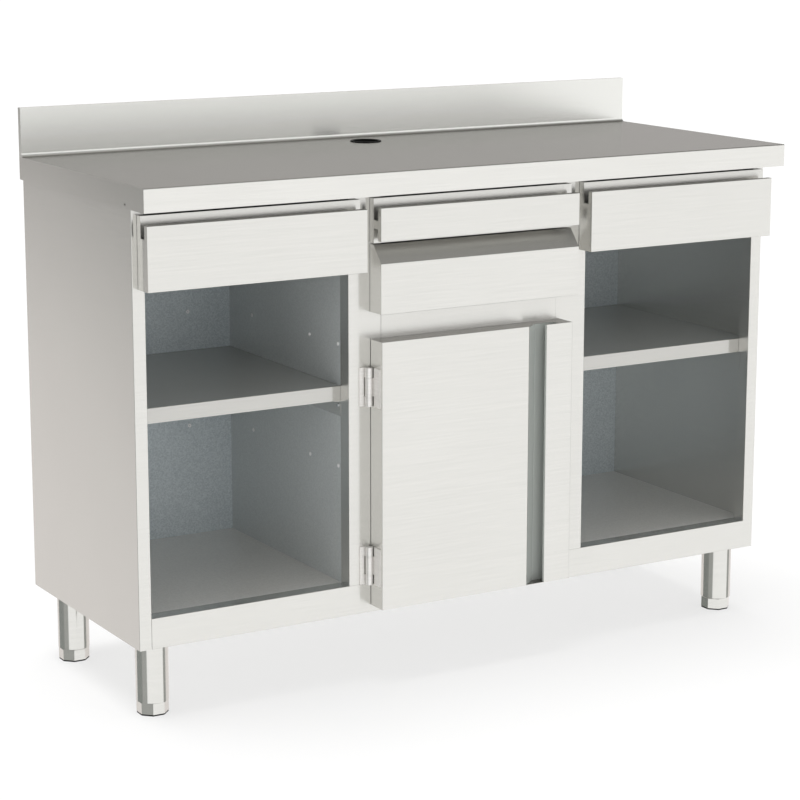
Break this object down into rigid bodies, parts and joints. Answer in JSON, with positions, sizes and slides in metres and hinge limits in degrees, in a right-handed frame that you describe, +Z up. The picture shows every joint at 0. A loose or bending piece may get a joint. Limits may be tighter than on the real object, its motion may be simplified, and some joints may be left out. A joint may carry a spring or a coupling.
{
  "type": "back counter",
  "caption": "Stainless service counter with an upstand: slotted drawer fronts, a hinged door with a finger channel, open shelved bays and levelling legs.",
  "frame": {"origin": "on the floor, under the middle of the worktop", "axes": "+X along the counter to the right as seen by someone who stands in front of it, +Y from the front to the wall, +Z up"},
  "size_m": [1.49, 0.6, 1.145],
  "materials": {
    "satin_worktop": "stainless sheet, brushed along the counter",
    "satin_front": "stainless sheet, fine brushed satin",
    "satin_carcass": "stainless sheet, mill satin",
    "zinc_back_sheet": "galvanised sheet, dull",
    "leg_steel": "stainless tube, satin",
    "hinge_steel": "stainless, tumbled",
    "zinc_plated": "zinc-plated steel, bright",
    "black_plastic": "moulded, matt black"
  },
  "bodies": {
    "carcass": {"back_panel": "zinc_back_sheet", "base_rail": "satin_carcass", "bearer_screws": "zinc_plated", "cabinet_slides": "zinc_plated", "cable_grommet": "black_plastic", "centre_cross_rail": "satin_carcass", "door_catch": "black_plastic", "floor_sheet": "satin_carcass", "frame_hinge_leaves": "hinge_steel", "front_top_rail": "satin_carcass", "hinge_pins": "hinge_steel", "left_centre_stile": "satin_carcass", "left_partition": "satin_carcass", "left_shelf": "satin_carcass", "left_side_panel": "satin_carcass", "leg_bearers": "satin_carcass", "leg_inserts": "leg_steel", "legs": "leg_steel", "plate_screws": "zinc_plated", "rear_top_rail": "satin_carcass", "right_centre_stile": "satin_carcass", "right_partition": "satin_carcass", "right_shelf": "satin_carcass", "right_side_panel": "satin_carcass", "shelf_bearers": "satin_carcass", "shelf_inserts": "zinc_plated", "slide_carriers": "satin_carcass", "slide_spacers": "satin_carcass", "worktop": "satin_worktop", "worktop_stiffeners": "satin_carcass"},
    "left_drawer": {"left_drawer_front": "satin_front", "left_drawer_box": "satin_carcass", "left_drawer_slides": "zinc_plated"},
    "left_slide_middles": {"left_slide_middles": "zinc_plated"},
    "right_drawer": {"right_drawer_front": "satin_front", "right_drawer_box": "satin_carcass", "right_drawer_slides": "zinc_plated"},
    "right_slide_middles": {"right_slide_middles": "zinc_plated"},
    "upper_drawer": {"upper_drawer_front": "satin_front", "upper_drawer_box": "satin_carcass", "upper_drawer_slides": "zinc_plated"},
    "upper_slide_middles": {"upper_slide_middles": "zinc_plated"},
    "lower_drawer": {"lower_drawer_front": "satin_front", "lower_drawer_box": "satin_carcass", "lower_drawer_slides": "zinc_plated"},
    "lower_slide_middles": {"lower_slide_middles": "zinc_plated"},
    "door": {"door_skin": "satin_front", "door_inner_panel": "satin_carcass", "door_handle": "satin_front", "door_handle_caps": "satin_front", "door_hinge_leaves": "hinge_steel", "catch_strike": "zinc_plated"},
    "front_left_foot": {"front_left_foot": "leg_steel", "front_left_pad": "black_plastic"},
    "front_right_foot": {"front_right_foot": "leg_steel", "front_right_pad": "black_plastic"},
    "rear_left_foot": {"rear_left_foot": "leg_steel", "rear_left_pad": "black_plastic"},
    "rear_right_foot": {"rear_right_foot": "leg_steel", "rear_right_pad": "black_plastic"}
  },
  "joints": [
    {"name": "left_drawer_pull", "type": "slide", "parent": "carcass", "child": "left_drawer", "axis": [0, -1, 0], "range_m": [0, 0.4]},
    {"name": "left_middles_run", "type": "slide", "parent": "carcass", "child": "left_slide_middles", "axis": [0, -1, 0], "range_m": [0, 0.2]},
    {"name": "right_drawer_pull", "type": "slide", "parent": "carcass", "child": "right_drawer", "axis": [0, -1, 0], "range_m": [0, 0.4]},
    {"name": "right_middles_run", "type": "slide", "parent": "carcass", "child": "right_slide_middles", "axis": [0, -1, 0], "range_m": [0, 0.2]},
    {"name": "upper_drawer_pull", "type": "slide", "parent": "carcass", "child": "upper_drawer", "axis": [0, -1, 0], "range_m": [0, 0.4]},
    {"name": "upper_middles_run", "type": "slide", "parent": "carcass", "child": "upper_slide_middles", "axis": [0, -1, 0], "range_m": [0, 0.2]},
    {"name": "lower_drawer_pull", "type": "slide", "parent": "carcass", "child": "lower_drawer", "axis": [0, -1, 0], "range_m": [0, 0.4]},
    {"name": "lower_middles_run", "type": "slide", "parent": "carcass", "child": "lower_slide_middles", "axis": [0, -1, 0], "range_m": [0, 0.2]},
    {"name": "door_swing", "type": "hinge", "parent": "carcass", "child": "door", "pos_m": [-0.2399, -0.2419, 0.43], "axis": [0, 0, -1], "range_deg": [0, 105]},
    {"name": "front_left_foot_height", "type": "slide", "parent": "carcass", "child": "front_left_foot", "axis": [0, 0, -1], "range_m": [0, 0.04]},
    {"name": "front_right_foot_height", "type": "slide", "parent": "carcass", "child": "front_right_foot", "axis": [0, 0, -1], "range_m": [0, 0.04]},
    {"name": "rear_left_foot_height", "type": "slide", "parent": "carcass", "child": "rear_left_foot", "axis": [0, 0, -1], "range_m": [0, 0.04]},
    {"name": "rear_right_foot_height", "type": "slide", "parent": "carcass", "child": "rear_right_foot", "axis": [0, 0, -1], "range_m": [0, 0.04]}
  ],
  "couplings": [
    {"joint": "left_middles_run", "follows": "left_drawer_pull", "ratio": 0.5},
    {"joint": "right_middles_run", "follows": "right_drawer_pull", "ratio": 0.5},
    {"joint": "upper_middles_run", "follows": "upper_drawer_pull", "ratio": 0.5},
    {"joint": "lower_middles_run", "follows": "lower_drawer_pull", "ratio": 0.5}
  ]
}
